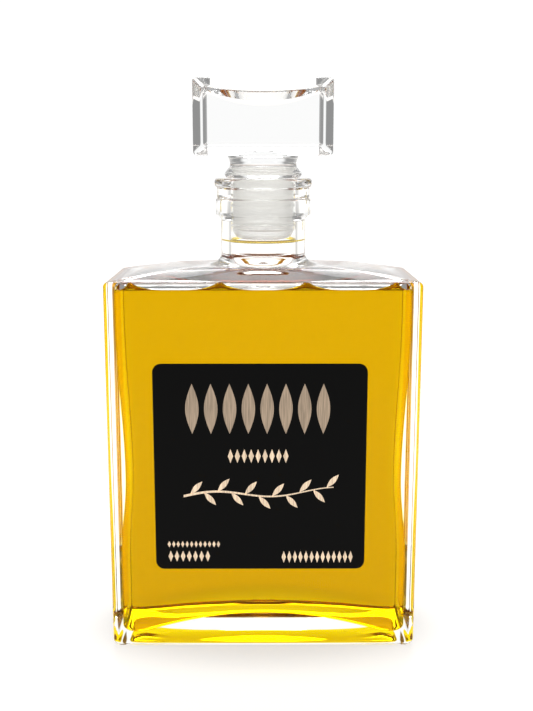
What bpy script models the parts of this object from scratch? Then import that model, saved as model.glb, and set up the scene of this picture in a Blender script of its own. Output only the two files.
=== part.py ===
"""A flat, square-shouldered glass bottle of olive oil with a block-shaped glass stopper.

Five pieces stand in one frame, in metres: +Z is up, the label faces -Y, and the origin is at the
middle of the base. The bottle and the oil are lofted from rounded rectangles into circles. The
stopper's block is lofted from front to back and joined to a turned stem, the plastic seal is turned,
and the label comes from a box.
"""

import math

import bmesh
import bpy
from mathutils import Matrix, Vector

# Driving dimensions of the bottle body.
BODY_WIDTH = 0.136
BODY_DEPTH = 0.060
SHOULDER_HEIGHT = 0.1660
SHOULDER_RISE = 0.0050
CORNER_RADIUS = 0.0028
SHOULDER_ROUNDING = 0.0024
HEEL_ROUNDING = 0.0035

# How thick the glass is at the front and back, in the roof and at the sides, where the inner face
# swells inwards round a height and fades out below and above it.
WALL = 0.0042
ROOF = 0.0020
SIDE_WALL = 0.0042
SIDE_SWELL = 0.0028
SWELL_HEIGHT = 0.0790
SWELL_BELOW = 0.0400
SWELL_ABOVE = 0.0700
WALL_HEIGHTS = (0.036, 0.053, 0.066, 0.079, 0.096, 0.118, 0.149)
INNER_CORNER_RADIUS = 0.0060
ROOF_ROUNDING = 0.0035

# The base: a flat rim to stand on, a shallow push-up under it, and a vaulted inner floor.
RIM_WIDTH = 0.0040
PUSH_UP = 0.0020
FLOOR_LOW = 0.0060
FLOOR_RISE = 0.0090
FLOOR_SPAN = 0.0540
FLOOR_ROUNDING = 0.0030

# Driving dimensions of the neck and its two rings.
NECK_RADIUS = 0.01875
NECK_FILLET = 0.0052
COLLAR_RADIUS = 0.0210
COLLAR_BOTTOM = 0.1924
COLLAR_TOP = 0.1999
COLLAR_CHAMFER = 0.0013
RECESS_RADIUS = 0.0205
LIP_RADIUS = 0.0215
LIP_BOTTOM = 0.2045
MOUTH_HEIGHT = 0.2086
LIP_ROUNDING = 0.0014
BORE_RADIUS = 0.0146
BORE_FILLET = 0.0050

# The oil, to its level under the shoulder.
OIL_LEVEL = 0.1624
CLEARANCE = 0.0003

# The label on the front, a little off the middle.
LABEL_WIDTH = 0.0924
LABEL_BOTTOM = 0.0381
LABEL_TOP = 0.1312
LABEL_OFFSET = -0.0014
LABEL_CORNER = 0.0038
LABEL_THICKNESS = 0.0003
LABEL_GAP = 0.0002

# The stopper's block. Its top is dished, and its front and back faces lie inside its outline: at the
# sides, below, above towards the corners and above in the middle. A bevel of the given depth leads
# from each face to the outline.
BLOCK_WIDTH = 0.0602
BLOCK_DEPTH = 0.0340
BLOCK_BOTTOM = 0.2184
BLOCK_TOP = 0.2512
BLOCK_CORNER = 0.0018
FRONT_FACE = {"side": 0.0050, "bottom": 0.0042, "top": 0.0044, "middle": 0.0070, "bevel": 0.0053}
BACK_FACE = {"side": 0.0064, "bottom": 0.0054, "top": 0.0062, "middle": 0.0120, "bevel": 0.0072}
BEVEL_FILLET = 0.0030
DISH_REACH = 0.0235
DISH_EDGE_DIP = 0.0017
DISH_DIP = 0.0060

# The stopper's waisted stem and its core in the seal.
STEM_ROOT_RADIUS = 0.0158
STEM_SINK = 0.0070
WAIST_RADIUS = 0.0146
WAIST_HEIGHT = 0.2147
BULGE_RADIUS = 0.0171
BULGE_HEIGHT = 0.2100
STOPPER_FOOT = 0.2089
CORE_RADIUS = 0.0105
CORE_BOTTOM = 0.1860
CORE_ROUNDING = 0.0010

# The ribbed seal in the bore.
SEAL_RADIUS = 0.0136
RIB_RADIUS = 0.0143
SEAL_TOP = 0.2084
SEAL_BOTTOM = 0.1821
SEAL_BORE = 0.0108
SEAL_FLOOR = 0.0030
RIB_HEIGHTS = (0.2040, 0.1966, 0.1919, 0.1882)
RIB_HALF_HEIGHT = 0.0007
SEAL_ROUNDING = 0.0045

# How finely shapes are divided: each long side, short side and corner of an outline, a full turn,
# and the block from front to back.
LONG_STEPS = 12
SHORT_STEPS = 4
CORNER_STEPS = 5
TURN_STEPS = 48
BLOCK_STEPS = 10
MERGE = 0.00001

collection = bpy.data.collections.new("olive_oil_bottle")


def clear_scene():
    """Removes whatever the opened file holds."""
    for item in list(bpy.data.objects):
        bpy.data.objects.remove(item, do_unlink=True)
    bpy.context.scene.collection.children.link(collection)


def material(name, colour, roughness, transmission=0.0, metallic=0.0, ior=1.5):
    """A Principled material of one colour."""
    made = bpy.data.materials.new(name)
    made.use_nodes = True
    shader = made.node_tree.nodes["Principled BSDF"]
    shader.inputs["Base Color"].default_value = (*colour, 1.0)
    shader.inputs["Roughness"].default_value = roughness
    shader.inputs["Metallic"].default_value = metallic
    shader.inputs["Transmission Weight"].default_value = transmission
    shader.inputs["IOR"].default_value = ior
    return made


def add_object(name, mesh, finish, sharp_angle=30.0):
    """Puts a mesh into the bottle's collection, shaded smooth up to sharp_angle degrees."""
    made = bpy.data.objects.new(name, mesh)
    mesh.materials.clear()
    mesh.materials.append(finish)
    mesh.shade_smooth()
    mesh.set_sharp_from_angle(angle=math.radians(sharp_angle))
    collection.objects.link(made)
    return made


def corner_centre(half_x, half_y, radius, quadrant):
    """The centre of a rounded rectangle's corner arc; quadrants run anticlockwise from +X +Y."""
    sign_x = 1.0 if quadrant in (0, 3) else -1.0
    sign_y = 1.0 if quadrant in (0, 1) else -1.0
    return Vector((sign_x * (half_x - radius), sign_y * (half_y - radius)))


def rounded_rectangle(half_x, half_y, radius):
    """Points anticlockwise round a rounded rectangle, evenly spread in direction along each side."""
    points = []
    for quadrant in range(4):
        centre = corner_centre(half_x, half_y, radius, quadrant)
        start = quadrant * math.pi / 2
        for step in range(CORNER_STEPS + 1):
            angle = start + step / CORNER_STEPS * math.pi / 2
            points.append(centre + radius * Vector((math.cos(angle), math.sin(angle))))
        following = corner_centre(half_x, half_y, radius, (quadrant + 1) % 4)
        side_end = following + radius * Vector((math.cos(start + math.pi / 2), math.sin(start + math.pi / 2)))
        steps = LONG_STEPS if quadrant % 2 == 0 else SHORT_STEPS
        points.extend(points_along_side(points[-1], side_end, steps))
    return points


def points_along_side(first, last, steps):
    """Points strictly between two corners of an outline, at even angles seen from its middle."""
    angle_first = math.atan2(first.y, first.x)
    turn = first.angle_signed(last)
    places = []
    for step in range(1, steps):
        angle = angle_first - turn * step / steps
        ray = Vector((math.cos(angle), math.sin(angle)))
        side = last - first
        reach = (first.x * side.y - first.y * side.x) / (ray.x * side.y - ray.y * side.x)
        places.append(ray * reach)
    return places


def circle(radius):
    """A circle whose points lie in the same directions as those of the body's outline."""
    outline = rounded_rectangle(BODY_WIDTH / 2, BODY_DEPTH / 2, CORNER_RADIUS)
    return [point.normalized() * radius for point in outline]


def raised(points, height):
    """An outline as a ring at a height, which is a number or a function of x and y."""
    if callable(height):
        return [Vector((point.x, point.y, height(point.x, point.y))) for point in points]
    return [Vector((point.x, point.y, height)) for point in points]


def blended(first, last, share):
    """An outline part of the way from one outline to another."""
    return [a.lerp(b, share) for a, b in zip(first, last)]


def arc(steps, first=0.0, last=90.0):
    """Cosine and sine at even steps of an arc, in degrees, both ends included."""
    angles = [math.radians(first + (last - first) * step / steps) for step in range(steps + 1)]
    return [(math.cos(angle), math.sin(angle)) for angle in angles]


def floor_height(inset):
    """The vaulted inner floor: highest along the middle, low towards both short sides."""
    return lambda x, y: FLOOR_LOW + inset + FLOOR_RISE * max(0.0, 1.0 - (x / FLOOR_SPAN) ** 2)


def side_swell(height):
    """How far the side walls swell inwards at a height."""
    reach = SWELL_BELOW if height < SWELL_HEIGHT else SWELL_ABOVE
    share = min(1.0, abs(height - SWELL_HEIGHT) / reach)
    return SIDE_SWELL * math.cos(share * math.pi / 2) ** 2


def push_up_height(half_x, half_y):
    """The shallow dome under the base, flat at the rim's inner edge."""
    return lambda x, y: PUSH_UP * max(0.0, 1.0 - (x / half_x) ** 2) * max(0.0, 1.0 - (y / half_y) ** 2)


def base_rings():
    """Rings from the middle of the underside out to the foot of the wall."""
    half_x, half_y = BODY_WIDTH / 2, BODY_DEPTH / 2
    inner_x, inner_y = half_x - HEEL_ROUNDING - RIM_WIDTH, half_y - HEEL_ROUNDING - RIM_WIDTH
    rim = rounded_rectangle(inner_x, inner_y, CORNER_RADIUS - HEEL_ROUNDING / 2)
    dome = push_up_height(inner_x, inner_y)
    rings = [raised([point * share for point in rim], dome) for share in (0.12, 0.4, 0.65, 0.85)]
    rings.append(raised(rim, 0.0))
    for cosine, sine in arc(4, -90.0, 0.0):
        inset = HEEL_ROUNDING * (1.0 - cosine)
        outline = rounded_rectangle(half_x - inset, half_y - inset, CORNER_RADIUS - inset / 2)
        rings.append(raised(outline, HEEL_ROUNDING * (1.0 + sine)))
    return rings


def shoulder_rings(half_x, half_y, corner, edge_height, rounding, throat):
    """Rings from the top of a wall over its rounded edge and up the pillowed shoulder to a circle."""
    rings = []
    for cosine, sine in arc(4):
        inset = rounding * (1.0 - cosine)
        outline = rounded_rectangle(half_x - inset, half_y - inset, max(corner - inset, rounding / 2))
        rings.append(raised(outline, edge_height - rounding * (1.0 - sine)))
    edge, mouth = outline, circle(throat)
    for share in (0.12, 0.28, 0.48, 0.74, 1.0):
        height = edge_height + SHOULDER_RISE * math.sin(share * math.pi / 2)
        rings.append(raised(blended(edge, mouth, share), height))
    return rings


def turned_rings(profile):
    """Rings of a turned stretch, from a list of radius and height."""
    return [raised(circle(radius), height) for radius, height in profile]


def neck_profile():
    """Radius and height from the neck's foot over the collar and the lip to the mouth's edge."""
    fillet_radius = NECK_RADIUS + NECK_FILLET
    fillet_height = SHOULDER_HEIGHT + SHOULDER_RISE + NECK_FILLET
    profile = [
        (fillet_radius - NECK_FILLET * cosine, fillet_height - NECK_FILLET * sine)
        for cosine, sine in reversed(arc(5)[:-1])
    ]
    profile += [
        (NECK_RADIUS, COLLAR_BOTTOM - COLLAR_CHAMFER),
        (COLLAR_RADIUS, COLLAR_BOTTOM),
        (COLLAR_RADIUS, COLLAR_TOP - COLLAR_CHAMFER / 2),
        (RECESS_RADIUS, COLLAR_TOP),
        (RECESS_RADIUS, LIP_BOTTOM - COLLAR_CHAMFER / 2),
    ]
    for cosine, sine in arc(3, -70.0, 0.0) + arc(3, 0.0, 90.0)[1:]:
        middle = LIP_BOTTOM + LIP_ROUNDING if sine < 0 else MOUTH_HEIGHT - LIP_ROUNDING
        profile.append((LIP_RADIUS - LIP_ROUNDING * (1.0 - cosine), middle + LIP_ROUNDING * sine))
    return profile


def bore_profile():
    """Radius and height from the mouth's inner edge down the bore to the top of the inner roof."""
    foot_height = SHOULDER_HEIGHT - ROOF + SHOULDER_RISE + BORE_FILLET
    profile = [
        (BORE_RADIUS + LIP_ROUNDING / 2, MOUTH_HEIGHT),
        (BORE_RADIUS, MOUTH_HEIGHT - LIP_ROUNDING / 2),
    ]
    profile += [
        (BORE_RADIUS + BORE_FILLET * (1.0 - cosine), foot_height - BORE_FILLET * sine)
        for cosine, sine in arc(5)[:-1]
    ]
    return profile


def cavity_rings(inset=0.0):
    """Rings up the inside of the body, from the middle of its floor to the top of the inner roof."""
    half_x, half_y = BODY_WIDTH / 2 - SIDE_WALL - inset, BODY_DEPTH / 2 - WALL - inset
    corner = INNER_CORNER_RADIUS - inset
    flat_x, flat_y = half_x - FLOOR_ROUNDING, half_y - FLOOR_ROUNDING
    flat = rounded_rectangle(flat_x, flat_y, corner - FLOOR_ROUNDING / 2)
    floor = floor_height(inset)
    rings = [raised([point * share for point in flat], floor) for share in (0.1, 0.4, 0.7)]
    for cosine, sine in arc(3, -90.0, 0.0):
        reach = FLOOR_ROUNDING * (1.0 - cosine)
        outline = rounded_rectangle(half_x - reach, half_y - reach, corner - reach / 2)
        lift = FLOOR_ROUNDING * (1.0 + sine)
        rings.append(raised(outline, lambda x, y: floor(x, y) + lift))
    for height in WALL_HEIGHTS:
        rings.append(raised(rounded_rectangle(half_x - side_swell(height), half_y, corner), height))
    roof_edge = SHOULDER_HEIGHT - ROOF - inset
    rings += shoulder_rings(half_x, half_y, corner, roof_edge, ROOF_ROUNDING, BORE_RADIUS + BORE_FILLET)
    return rings


def bridge(name, rings):
    """One closed mesh over a run of rings, with a cap at each end."""
    shell = bmesh.new()
    rows = [[shell.verts.new(point) for point in ring] for ring in rings]
    count = len(rows[0])
    for lower, upper in zip(rows, rows[1:]):
        for index in range(count):
            following = (index + 1) % count
            shell.faces.new((lower[index], lower[following], upper[following], upper[index]))
    for row in (rows[0], rows[-1]):
        middle = shell.verts.new(sum((vert.co for vert in row), Vector()) / count)
        for index in range(count):
            shell.faces.new((row[index], row[(index + 1) % count], middle))
    bmesh.ops.recalc_face_normals(shell, faces=shell.faces)
    if shell.calc_volume(signed=True) < 0:
        bmesh.ops.reverse_faces(shell, faces=shell.faces)
    bmesh.ops.triangulate(shell, faces=shell.faces)
    mesh = bpy.data.meshes.new(name)
    shell.to_mesh(mesh)
    shell.free()
    return mesh


def build_bottle():
    """The glass bottle: one shell, open at the mouth."""
    half_x, half_y = BODY_WIDTH / 2, BODY_DEPTH / 2
    rings = base_rings()
    rings += shoulder_rings(
        half_x, half_y, CORNER_RADIUS, SHOULDER_HEIGHT, SHOULDER_ROUNDING, NECK_RADIUS + NECK_FILLET
    )
    rings += turned_rings(neck_profile())
    rings += turned_rings(bore_profile())
    rings += reversed(cavity_rings())
    finish = material("clear_glass", (0.95, 0.97, 0.96), 0.02, transmission=1.0, ior=1.5)
    return add_object("bottle_glass", bridge("bottle_glass", rings), finish)


def build_oil():
    """The oil, a solid up to its level, clear of the glass all round."""
    rings = []
    for ring in cavity_rings(CLEARANCE):
        highest = max(point.z for point in ring)
        if highest >= OIL_LEVEL:
            below = rings[-1]
            share = (OIL_LEVEL - below[0].z) / (highest - below[0].z)
            rings.append([a.lerp(b, share) for a, b in zip(below, ring)])
            break
        rings.append(ring)
    finish = material("olive_oil", (0.80, 0.52, 0.02), 0.05, transmission=0.6, ior=1.47)
    return add_object("olive_oil", bridge("olive_oil", rings), finish)


def build_label():
    """The black label, a thin sheet with rounded corners close in front of the glass."""
    bpy.ops.mesh.primitive_cube_add(size=1.0)
    made = bpy.context.object
    height = LABEL_TOP - LABEL_BOTTOM
    made.data.transform(Matrix.Diagonal((LABEL_WIDTH, LABEL_THICKNESS, height, 1.0)))
    corners = made.modifiers.new("corners", "BEVEL")
    corners.width = LABEL_CORNER
    corners.segments = 5
    corners.limit_method = "WEIGHT"
    weights = made.data.attributes.new("bevel_weight_edge", "FLOAT", "EDGE")
    for edge in made.data.edges:
        first, last = (made.data.vertices[index].co for index in edge.vertices)
        weights.data[edge.index].value = 1.0 if abs(first.y - last.y) > LABEL_THICKNESS / 2 else 0.0
    finish = material("black_label", (0.006, 0.006, 0.006), 0.5)
    mesh = evaluated_mesh(made, "label")
    front = -BODY_DEPTH / 2 - LABEL_GAP - LABEL_THICKNESS / 2
    placed = add_object("label", mesh, finish)
    placed.location = (LABEL_OFFSET, front, (LABEL_TOP + LABEL_BOTTOM) / 2)
    return placed


def evaluated_mesh(source, name):
    """The mesh of an object with its modifiers applied; the object is then removed."""
    depsgraph = bpy.context.evaluated_depsgraph_get()
    mesh = bpy.data.meshes.new_from_object(source.evaluated_get(depsgraph))
    mesh.name = name
    bpy.data.objects.remove(source, do_unlink=True)
    return mesh


def turned(name, profile, steps=TURN_STEPS):
    """An object turned about Z from a profile of radius and height that runs down its outer side."""
    mesh = bpy.data.meshes.new(name)
    points = [(radius, 0.0, height) for radius, height in profile]
    mesh.from_pydata(points, [(index, index + 1) for index in range(len(points) - 1)], [])
    made = bpy.data.objects.new(name, mesh)
    turn = made.modifiers.new("turn", "SCREW")
    turn.axis = "Z"
    turn.steps = turn.render_steps = steps
    turn.use_merge_vertices = True
    turn.merge_threshold = MERGE
    collection.objects.link(made)
    return made


def stem_profile():
    """The stopper's stem and core, from inside the block down to the core's rounded end."""
    flare = BLOCK_BOTTOM - WAIST_HEIGHT
    profile = [(0.0, BLOCK_BOTTOM + STEM_SINK), (STEM_ROOT_RADIUS, BLOCK_BOTTOM + STEM_SINK)]
    for share in (0.0, 0.3, 0.6):
        radius = STEM_ROOT_RADIUS + (WAIST_RADIUS - STEM_ROOT_RADIUS) * math.sin(share * math.pi / 2)
        profile.append((radius, BLOCK_BOTTOM - flare * share))
    for share in (0.0, 0.25, 0.5, 0.75, 1.0):
        radius = WAIST_RADIUS + (BULGE_RADIUS - WAIST_RADIUS) * (1.0 - math.cos(share * math.pi)) / 2
        profile.append((radius, WAIST_HEIGHT + (BULGE_HEIGHT - WAIST_HEIGHT) * share))
    profile += [
        (BULGE_RADIUS - CORE_ROUNDING, STOPPER_FOOT),
        (CORE_RADIUS, STOPPER_FOOT),
        (CORE_RADIUS, CORE_BOTTOM + CORE_ROUNDING),
        (CORE_RADIUS - CORE_ROUNDING, CORE_BOTTOM),
        (0.0, CORE_BOTTOM),
    ]
    return profile


def bevel_profile(depth):
    """How much of a face's insets applies, and how far behind the face, over its rounded bevel."""
    reach = depth + BEVEL_FILLET * math.tan(math.pi / 8)
    profile = []
    for cosine, sine in arc(3, 90.0, 45.0):
        profile.append((reach - BEVEL_FILLET * cosine, BEVEL_FILLET * (1.0 - sine)))
    for cosine, sine in arc(3, 45.0, 0.0):
        profile.append((BEVEL_FILLET * (1.0 - cosine), reach - BEVEL_FILLET * sine))
    return [(inset / reach, behind) for inset, behind in profile]


def block_ring(place, face, share, dish=0.0):
    """One section of the block at a place along Y, its outline drawn in by a share of a face's insets."""
    side, bottom, top = (face[name] * share for name in ("side", "bottom", "top"))
    dip = DISH_EDGE_DIP * (1.0 - share) + (face["middle"] - face["top"]) * share + dish
    half_x, half_z = BLOCK_WIDTH / 2 - side, (BLOCK_TOP - BLOCK_BOTTOM - bottom - top) / 2
    reach = DISH_REACH + (half_x - DISH_REACH) * share
    middle = BLOCK_BOTTOM + bottom + half_z
    ring = []
    for point in rounded_rectangle(half_x, half_z, BLOCK_CORNER):
        hollow = dip * max(0.0, 1.0 - (point.x / reach) ** 2) * max(0.0, point.y / half_z) ** 3
        ring.append(Vector((point.x, place, middle + point.y - hollow)))
    return ring


def block_rings():
    """Sections of the block from its front face over both bevels to its back face."""
    front = bevel_profile(FRONT_FACE["bevel"])
    back = bevel_profile(BACK_FACE["bevel"])
    first, last = -BLOCK_DEPTH / 2 + front[-1][1], BLOCK_DEPTH / 2 - back[-1][1]
    rings = [block_ring(-BLOCK_DEPTH / 2 + behind, FRONT_FACE, share) for share, behind in front]
    for step in range(1, BLOCK_STEPS):
        share = step / BLOCK_STEPS
        dish = (DISH_DIP - DISH_EDGE_DIP) * math.sin(share * math.pi)
        rings.append(block_ring(first + (last - first) * share, FRONT_FACE, 0.0, dish))
    rings += [block_ring(BLOCK_DEPTH / 2 - behind, BACK_FACE, share) for share, behind in reversed(back)]
    return rings


def build_stopper():
    """The glass stopper: a bevelled block, dished on top, joined to its stem."""
    block = bpy.data.objects.new("block", bridge("block", block_rings()))
    collection.objects.link(block)
    stem = turned("stem", stem_profile())
    join = block.modifiers.new("stem", "BOOLEAN")
    join.operation = "UNION"
    join.object = stem
    mesh = evaluated_mesh(block, "stopper_glass")
    bpy.data.objects.remove(stem, do_unlink=True)
    finish = material("stopper_glass", (0.97, 0.98, 0.98), 0.02, transmission=1.0, ior=1.5)
    return add_object("stopper_glass", mesh, finish)


def seal_profile():
    """The ribbed cup of the seal, from its floor inside up and over its rim, then down the outside."""
    inside = [(0.0, SEAL_BOTTOM + SEAL_FLOOR), (SEAL_BORE, SEAL_BOTTOM + SEAL_FLOOR), (SEAL_BORE, SEAL_TOP)]
    outside = [(RIB_RADIUS, SEAL_TOP)]
    for height in RIB_HEIGHTS:
        outside += [
            (RIB_RADIUS, height + RIB_HALF_HEIGHT / 2),
            (RIB_RADIUS, height - RIB_HALF_HEIGHT / 2),
            (SEAL_RADIUS, height - RIB_HALF_HEIGHT),
        ]
        if height != RIB_HEIGHTS[-1]:
            below = RIB_HEIGHTS[RIB_HEIGHTS.index(height) + 1]
            outside.append((SEAL_RADIUS, below + RIB_HALF_HEIGHT))
    tip = [
        (SEAL_RADIUS - SEAL_ROUNDING * (1.0 - cosine), SEAL_BOTTOM + SEAL_ROUNDING * (1.0 - sine))
        for cosine, sine in arc(4)
    ]
    return inside + outside + tip + [(0.0, SEAL_BOTTOM)]


def build_seal():
    """The translucent plastic seal between the stopper's core and the bore."""
    made = turned("stopper_seal", seal_profile(), steps=40)
    made.data.materials.append(material("seal_plastic", (0.85, 0.84, 0.82), 0.35, transmission=0.5))
    made.data.shade_smooth()
    return made


def main():
    clear_scene()
    build_bottle()
    build_oil()
    build_label()
    build_stopper()
    build_seal()


main()
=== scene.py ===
"""Looks of a flat glass bottle of olive oil with a block-shaped stopper.

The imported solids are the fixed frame. Each sub-assembly below is modelled again as a finer mesh on
the same sizes, so that glass and oil bend light smoothly, and rides on the body of its solid.
"""

import logging
import math
from collections.abc import Callable, Iterable, Sequence
from dataclasses import dataclass
from enum import Enum

import bmesh
import bpy
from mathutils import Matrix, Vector

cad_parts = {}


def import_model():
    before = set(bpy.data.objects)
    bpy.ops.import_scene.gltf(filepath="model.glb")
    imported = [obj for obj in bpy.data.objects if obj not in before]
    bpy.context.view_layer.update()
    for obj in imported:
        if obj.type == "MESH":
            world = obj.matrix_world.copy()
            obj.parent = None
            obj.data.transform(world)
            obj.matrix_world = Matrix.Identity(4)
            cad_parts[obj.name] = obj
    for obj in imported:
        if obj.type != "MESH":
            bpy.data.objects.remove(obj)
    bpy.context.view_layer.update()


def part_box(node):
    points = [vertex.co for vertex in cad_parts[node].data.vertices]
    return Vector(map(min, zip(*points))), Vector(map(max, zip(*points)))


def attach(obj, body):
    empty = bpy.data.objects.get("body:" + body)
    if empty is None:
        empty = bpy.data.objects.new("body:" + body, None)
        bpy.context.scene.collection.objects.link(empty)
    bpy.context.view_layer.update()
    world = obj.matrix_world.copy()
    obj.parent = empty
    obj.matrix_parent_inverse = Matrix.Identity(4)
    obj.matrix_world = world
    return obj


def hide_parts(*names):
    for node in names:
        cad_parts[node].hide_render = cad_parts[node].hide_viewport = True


LOG = logging.getLogger("olive_oil_bottle")
BODY = "root"

Socket = bpy.types.NodeSocket
Material = bpy.types.Material
Piece = bpy.types.Object
Ring = list[Vector]
Row = list[bmesh.types.BMVert]
Height = float | Callable[[float, float], float]
Profile = list[tuple[float, float]]
Stops = tuple[tuple[float, float], ...]
Colour = tuple[float, float, float, float]
Waves = tuple[float, float]
Edge = tuple[float, float]
Span = tuple[float, float]

# How far out from the middle of a floor or an underside its rings lie
SPREAD = (0.05, 0.2, 0.4, 0.6, 0.8, 0.93)
DISC_STEPS = 96


class Side(Enum):
    """The sides of an outline, with how many steps each is divided into."""

    LONG = 26
    SHORT = 10
    CORNER = 14


class Ink(Enum):
    """The colours of the label's print, linear."""

    BRONZE = (0.36, 0.27, 0.19)
    CHAMPAGNE = (0.80, 0.62, 0.44)


class Nodes:
    """Short ways to add shader nodes to a tree."""

    def __init__(self, tree: bpy.types.NodeTree) -> None:
        """Takes the tree."""
        self.tree = tree

    def add(self, kind: str, **values: object) -> bpy.types.Node:
        """Adds a node and sets or joins its sockets and sets its properties.

        Args:
            kind: The node's Blender type name after the word ShaderNode.
            **values: Socket names with _ for a space, or property names, with a value or, for a
                socket, another node's output.

        Returns:
            The new node.
        """
        node = self.tree.nodes.new("ShaderNode" + kind)
        for name, value in values.items():
            socket = node.inputs.get(name.replace("_", " "))
            if socket is None:
                setattr(node, name, value)
            elif isinstance(value, Socket):
                self.link(value, socket)
            else:
                socket.default_value = value
        return node

    def link(self, source: Socket, target: Socket) -> None:
        """Joins one node's output to another's input."""
        self.tree.links.new(source, target)

    def step(self, value: Socket, edge: Edge, before: float, after: float) -> Socket:
        """A smooth step of a value.

        Args:
            value: The value.
            edge: Where the step begins and ends.
            before: What it gives up to its beginning.
            after: What it gives from its end.

        Returns:
            The stepped value.
        """
        low, high = edge
        span = {"From_Min": low, "From_Max": high, "To_Min": before, "To_Max": after}
        return self.add("MapRange", interpolation_type="SMOOTHSTEP", Value=value, **span).outputs["Result"]


class Coat(Nodes):
    """A material with one principled surface."""

    def __init__(self, name: str, waves: Waves | None = None, **values: object) -> None:
        """Makes the material.

        Args:
            name: Its name.
            waves: How many soft waves its bump has to a metre, and their height in metres.
            **values: The surface's values, as for a node.
        """
        self.made = bpy.data.materials.new(name)
        self.made.use_nodes = True
        super().__init__(self.made.node_tree)
        self.tree.nodes.clear()
        self.shader = self.add("BsdfPrincipled", **values)
        self.out = self.add("OutputMaterial", Surface=self.shader.outputs[0])
        if waves is not None:
            noise = self.add("TexNoise", Vector=self.coordinates(), Scale=waves[0], Detail=2.0, Roughness=0.4)
            bump = self.add("Bump", Height=noise.outputs["Fac"], Strength=1.0, Distance=waves[1])
            self.link(bump.outputs["Normal"], self.shader.inputs["Normal"])

    def coordinates(self) -> Socket:
        """The object's own coordinates, in metres."""
        return self.add("TexCoord").outputs["Object"]

    def coordinate(self, axis: str) -> Socket:
        """One of the object's own coordinates."""
        return self.add("SeparateXYZ", Vector=self.coordinates()).outputs[axis]


@dataclass(frozen=True)
class ClearGlass:
    """Polished flint glass: nearly colourless, with a slow waviness from the mould."""

    name: str
    ior: float = 1.55
    tint: Colour = (0.992, 0.998, 0.995, 1.0)
    head_on: float = 0.15
    waves: Waves = (60.0, 0.00002)

    def material(self) -> Material:
        """Makes the glass, its faint tint at the surface and its mirror image weak seen head-on.

        Returns:
            The material.
        """
        return Coat(
            self.name,
            self.waves,
            Base_Color=self.tint,
            Roughness=0.0,
            IOR=self.ior,
            Transmission_Weight=1.0,
            Specular_Tint=(self.head_on, self.head_on, self.head_on, 1.0),
        ).made


@dataclass(frozen=True)
class GoldenOil:
    """Clear golden olive oil: its colour comes from the depth of oil that light passes.

    It bends light at its level, if it has one, and not below, where the wetted glass does so.
    """

    name: str = "olive_oil"
    ior: float = 1.46
    density: float = 100.0
    colour: Colour = (0.905, 0.845, 0.20, 1.0)
    tint: Colour = (0.97, 0.74, 0.003, 1.0)
    waves: Waves = (30.0, 0.00001)
    level: float | None = None
    level_edge: Edge = (-0.00002, -0.00001)

    def material(self) -> Material:
        """Makes the oil as a golden surface round an absorbing volume.

        Returns:
            The material.
        """
        coat = Coat(
            self.name,
            self.waves,
            Base_Color=self.tint,
            Roughness=0.0,
            IOR=self.ior,
            Transmission_Weight=1.0,
            Specular_Tint=(0.0, 0.0, 0.0, 1.0),
        )
        if self.level is not None:
            low, high = self.level_edge
            edge = (self.level + low, self.level + high)
            coat.link(coat.step(coat.coordinate("Z"), edge, 1.0, self.ior), coat.shader.inputs["IOR"])
        volume = coat.add("VolumeAbsorption", Color=self.colour, Density=self.density)
        coat.link(volume.outputs[0], coat.out.inputs["Volume"])
        return coat.made


@dataclass(frozen=True)
class LabelStock:
    """Matte black label stock with a fine tooth."""

    name: str = "label_stock"
    grey: float = 0.0035
    waves: Waves = (9000.0, 0.000004)

    def material(self) -> Material:
        """Makes the black stock."""
        black = (self.grey, self.grey, self.grey, 1.0)
        return Coat(self.name, self.waves, Base_Color=black, Roughness=0.6, Specular_IOR_Level=0.08).made


@dataclass(frozen=True)
class PrintInk:
    """Metallic print ink with a fine upright brushing, and a painted glow for its metallic sheen."""

    ink: Ink
    # Painted sheen: how strongly the ink glows in its own colours.
    glow: float = 0.35

    def material(self) -> Material:
        """Makes the ink, with streaks a little darker and lighter than its colour, which also glow as a
        painted sheen.

        Returns:
            The material.
        """
        coat = Coat(f"ink_{self.ink.name.lower()}", Roughness=0.5, Emission_Strength=self.glow)
        stretch = coat.add("Mapping", Vector=coat.coordinates(), Scale=(1.0, 1.0, 0.04))
        streaks = coat.add("TexNoise", Vector=stretch.outputs["Vector"], Scale=2600.0, Detail=3.0)
        tones = coat.add("ValToRGB", Fac=streaks.outputs["Fac"])
        for element, place, share in zip(tones.color_ramp.elements, (0.35, 0.65), (0.75, 1.25)):
            element.color = (*(part * share for part in self.ink.value), 1.0)
            element.position = place
        # The streaks colour the ink and also its painted glow.
        for name in ("Base Color", "Emission Color"):
            coat.link(tones.outputs["Color"], coat.shader.inputs[name])
        return coat.made


@dataclass(frozen=True)
class SoftPlastic:
    """Translucent soft plastic of the seal, with a painted glow that stands in for the light that it
    scatters.
    """

    name: str = "seal_plastic"
    waves: Waves = (900.0, 0.00003)

    def material(self) -> Material:
        """Makes the milky plastic.

        Returns:
            The material.
        """
        return Coat(
            self.name,
            self.waves,
            Base_Color=(0.97, 0.965, 0.95, 1.0),
            Roughness=0.22,
            IOR=1.5,
            Transmission_Weight=0.75,
            # Painted glow: the plastic gives off a faint warm white light of its own.
            Emission_Color=(1.0, 0.98, 0.95, 1.0),
            Emission_Strength=0.12,
        ).made


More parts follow.
